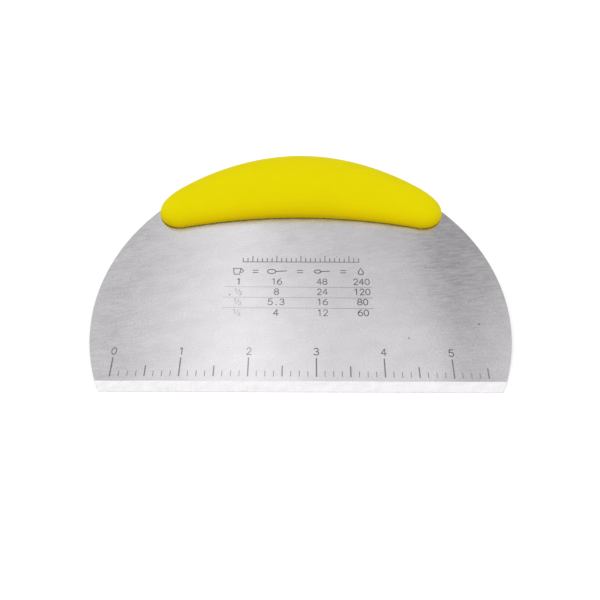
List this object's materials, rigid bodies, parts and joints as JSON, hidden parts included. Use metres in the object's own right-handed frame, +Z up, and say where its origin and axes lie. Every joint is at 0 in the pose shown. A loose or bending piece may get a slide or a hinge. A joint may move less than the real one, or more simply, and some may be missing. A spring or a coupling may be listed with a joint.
{
  "type": "pastry scraper",
  "caption": "Half-moon steel bench scraper with a ground straight edge and a soft curved grip moulded along its back, for cutting and portioning dough.",
  "frame": {"origin": "on the surface that the scraper lies on, under the middle of its bounding box", "axes": "+X to the right along the cutting edge, +Y from the cutting edge towards the grip, +Z up; the scraper lies on its back, so its front face, the one with the ground strip, looks up and 4.9 degrees towards the cutting edge"},
  "size_m": [0.1636, 0.1208, 0.0184],
  "materials": {
    "blade_steel": "stainless steel brushed along the cutting edge, with a brighter ground strip at the edge",
    "core_plastic": "plain moulded plastic, hidden inside the grip",
    "rivet_steel": "plain steel, hidden inside the grip",
    "soft_rubber": "matte, smooth, bright yellow soft-touch moulding"
  },
  "bodies": {
    "root": {"blade": "blade_steel", "core_front": "core_plastic", "core_rear": "core_plastic", "rivet_left": "rivet_steel", "rivet_middle": "rivet_steel", "rivet_right": "rivet_steel", "grip": "soft_rubber"}
  },
  "joints": []
}
